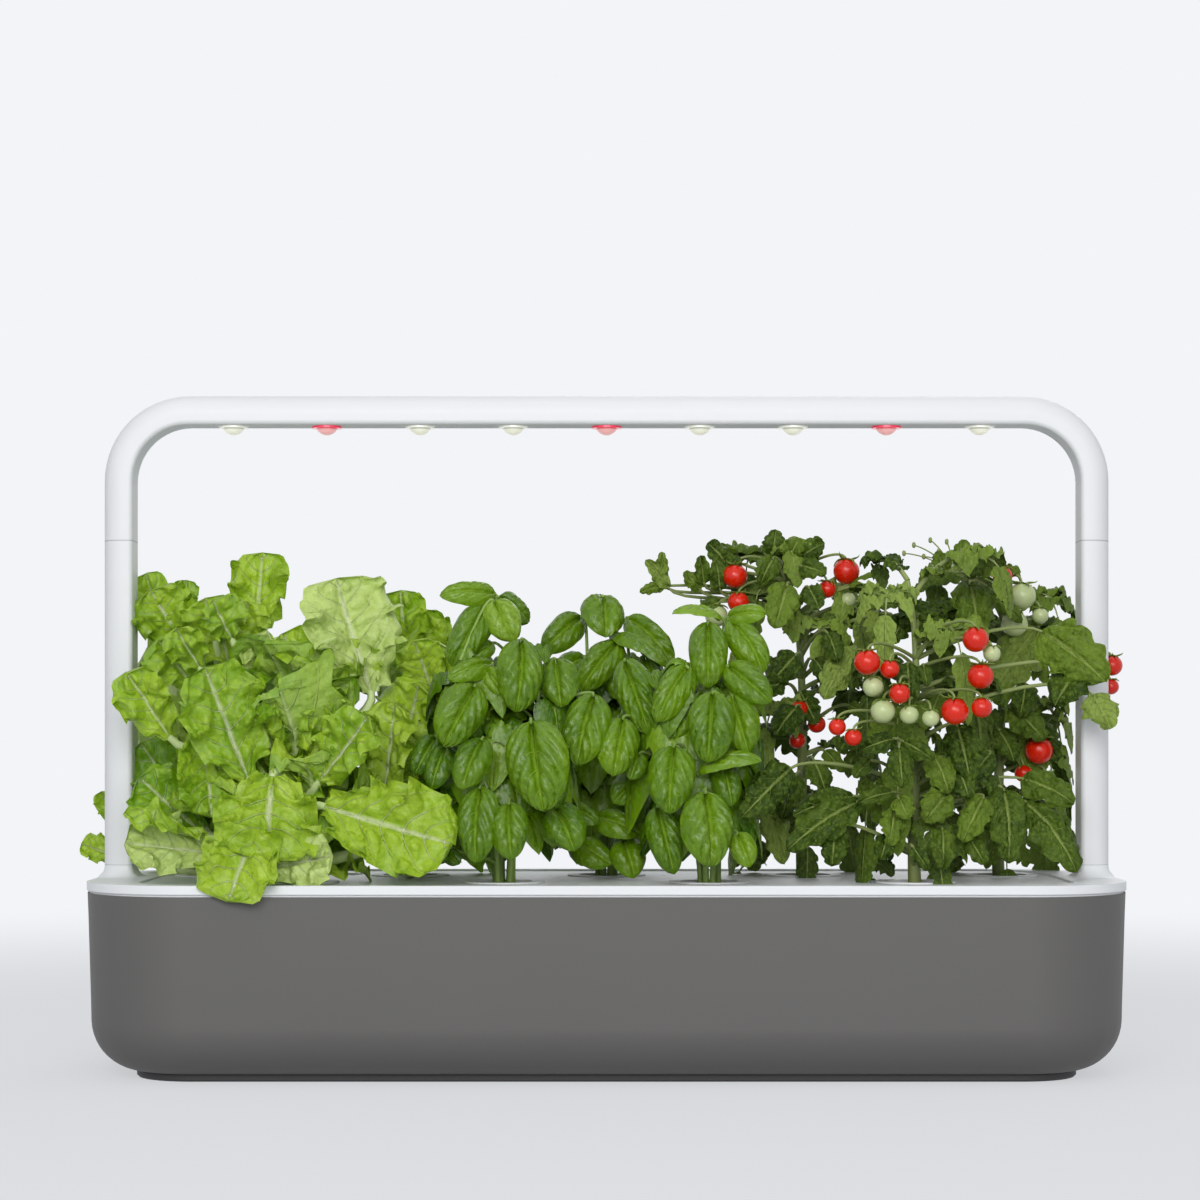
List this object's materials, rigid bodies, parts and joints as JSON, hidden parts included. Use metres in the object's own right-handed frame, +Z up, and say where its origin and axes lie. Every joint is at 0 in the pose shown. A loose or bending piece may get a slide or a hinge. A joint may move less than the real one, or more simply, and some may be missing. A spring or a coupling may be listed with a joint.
{
  "type": "countertop hydroponic garden",
  "caption": "Long grey water tank with a white lid holding planted pods under a white arched grow lamp with clear and red lenses.",
  "frame": {"origin": "middle of the base, on the surface it stands on", "axes": "+Z up, +X to the right along the garden's length, front towards -Y"},
  "size_m": [0.61, 0.21, 0.404],
  "materials": {
    "tank_grey": "matte, fine grain",
    "plinth_dark": "matte",
    "pad_rubber": "matte",
    "lid_white": "satin white",
    "tube_white": "satin white",
    "strip_white": "satin white",
    "button_white": "satin white",
    "lens_clear": "clear, glossy",
    "lens_red": "clear with a red tint, glossy",
    "chip_white": "phosphor",
    "chip_red": "red",
    "circuit_board": "solder mask",
    "component_black": "moulded",
    "switch_body": "moulded",
    "insulator": "film",
    "sink_metal": "drawn",
    "screw_steel": "plated",
    "inlet_black": "moulded",
    "lead_sheath": "matte",
    "cage_plastic": "moulded",
    "float_plastic": "moulded blue",
    "cup_white": "moulded",
    "growth_sponge": "damp porous plug",
    "lettuce_leaf": "crinkled leaf",
    "basil_leaf": "glossy leaf",
    "tomato_leaf": "matte leaf",
    "tomato_ripe": "glossy skin",
    "tomato_green": "glossy skin"
  },
  "bodies": {
    "planter": {"planter_box": "tank_grey", "base_plinth": "plinth_dark", "foot_pads": "pad_rubber"},
    "lid": {"lid_tray": "lid_white", "float_cage": "cage_plastic"},
    "water_float": {"water_float": "float_plastic"},
    "extension_tubes": {"left_extension_tube": "tube_white", "right_extension_tube": "tube_white"},
    "lamp": {"arch_housing": "tube_white", "arch_inner_cover": "strip_white", "clear_lenses": "lens_clear", "red_lenses": "lens_red", "clear_lens_chips": "chip_white", "red_lens_chips": "chip_red", "led_board": "circuit_board", "heat_sink": "sink_metal", "board_screws": "screw_steel", "board_insulator": "insulator", "control_board": "circuit_board", "control_components": "component_black", "button_switch": "switch_body", "dc_inlet": "inlet_black", "lamp_lead": "lead_sheath"},
    "power_button": {"power_button": "button_white", "switch_plunger": "component_black"},
    "pod_1": {"pod_cup_1": "cup_white", "growth_medium_1": "growth_sponge", "plant_1": "lettuce_leaf"},
    "pod_2": {"pod_cup_2": "cup_white", "growth_medium_2": "growth_sponge", "plant_2": "lettuce_leaf"},
    "pod_3": {"pod_cup_3": "cup_white", "growth_medium_3": "growth_sponge", "plant_3": "basil_leaf"},
    "pod_4": {"pod_cup_4": "cup_white", "growth_medium_4": "growth_sponge", "plant_4": "tomato_leaf", "ripe_tomatoes_4": "tomato_ripe", "green_tomatoes_4": "tomato_green"},
    "pod_5": {"pod_cup_5": "cup_white", "growth_medium_5": "growth_sponge", "plant_5": "tomato_leaf", "ripe_tomatoes_5": "tomato_ripe", "green_tomatoes_5": "tomato_green"},
    "pod_6": {"pod_cup_6": "cup_white", "growth_medium_6": "growth_sponge", "plant_6": "lettuce_leaf"},
    "pod_7": {"pod_cup_7": "cup_white", "growth_medium_7": "growth_sponge", "plant_7": "basil_leaf"},
    "pod_8": {"pod_cup_8": "cup_white", "growth_medium_8": "growth_sponge", "plant_8": "basil_leaf"},
    "pod_9": {"pod_cup_9": "cup_white", "growth_medium_9": "growth_sponge", "plant_9": "tomato_leaf", "ripe_tomatoes_9": "tomato_ripe", "green_tomatoes_9": "tomato_green"}
  },
  "joints": [
    {"name": "lid_lift", "type": "slide", "parent": "planter", "child": "lid", "axis": [0, 0, 1], "range_m": [0, 0.08]},
    {"name": "float_rise", "type": "slide", "parent": "lid", "child": "water_float", "axis": [0, 0, 1], "range_m": [0, 0.022]},
    {"name": "extension_lift", "type": "slide", "parent": "lid", "child": "extension_tubes", "axis": [0, 0, 1], "range_m": [0, 0.03]},
    {"name": "lamp_lift", "type": "slide", "parent": "extension_tubes", "child": "lamp", "axis": [0, 0, 1], "range_m": [0, 0.025]},
    {"name": "button_press", "type": "slide", "parent": "lamp", "child": "power_button", "axis": [0, 0, -1], "range_m": [0, 0.0008], "stiffness_N_per_m": 600},
    {"name": "pod_1_lift", "type": "slide", "parent": "lid", "child": "pod_1", "axis": [0, 0, 1], "range_m": [0, 0.05]},
    {"name": "pod_2_lift", "type": "slide", "parent": "lid", "child": "pod_2", "axis": [0, 0, 1], "range_m": [0, 0.05]},
    {"name": "pod_3_lift", "type": "slide", "parent": "lid", "child": "pod_3", "axis": [0, 0, 1], "range_m": [0, 0.05]},
    {"name": "pod_4_lift", "type": "slide", "parent": "lid", "child": "pod_4", "axis": [0, 0, 1], "range_m": [0, 0.05]},
    {"name": "pod_5_lift", "type": "slide", "parent": "lid", "child": "pod_5", "axis": [0, 0, 1], "range_m": [0, 0.05]},
    {"name": "pod_6_lift", "type": "slide", "parent": "lid", "child": "pod_6", "axis": [0, 0, 1], "range_m": [0, 0.05]},
    {"name": "pod_7_lift", "type": "slide", "parent": "lid", "child": "pod_7", "axis": [0, 0, 1], "range_m": [0, 0.05]},
    {"name": "pod_8_lift", "type": "slide", "parent": "lid", "child": "pod_8", "axis": [0, 0, 1], "range_m": [0, 0.05]},
    {"name": "pod_9_lift", "type": "slide", "parent": "lid", "child": "pod_9", "axis": [0, 0, 1], "range_m": [0, 0.05]}
  ]
}
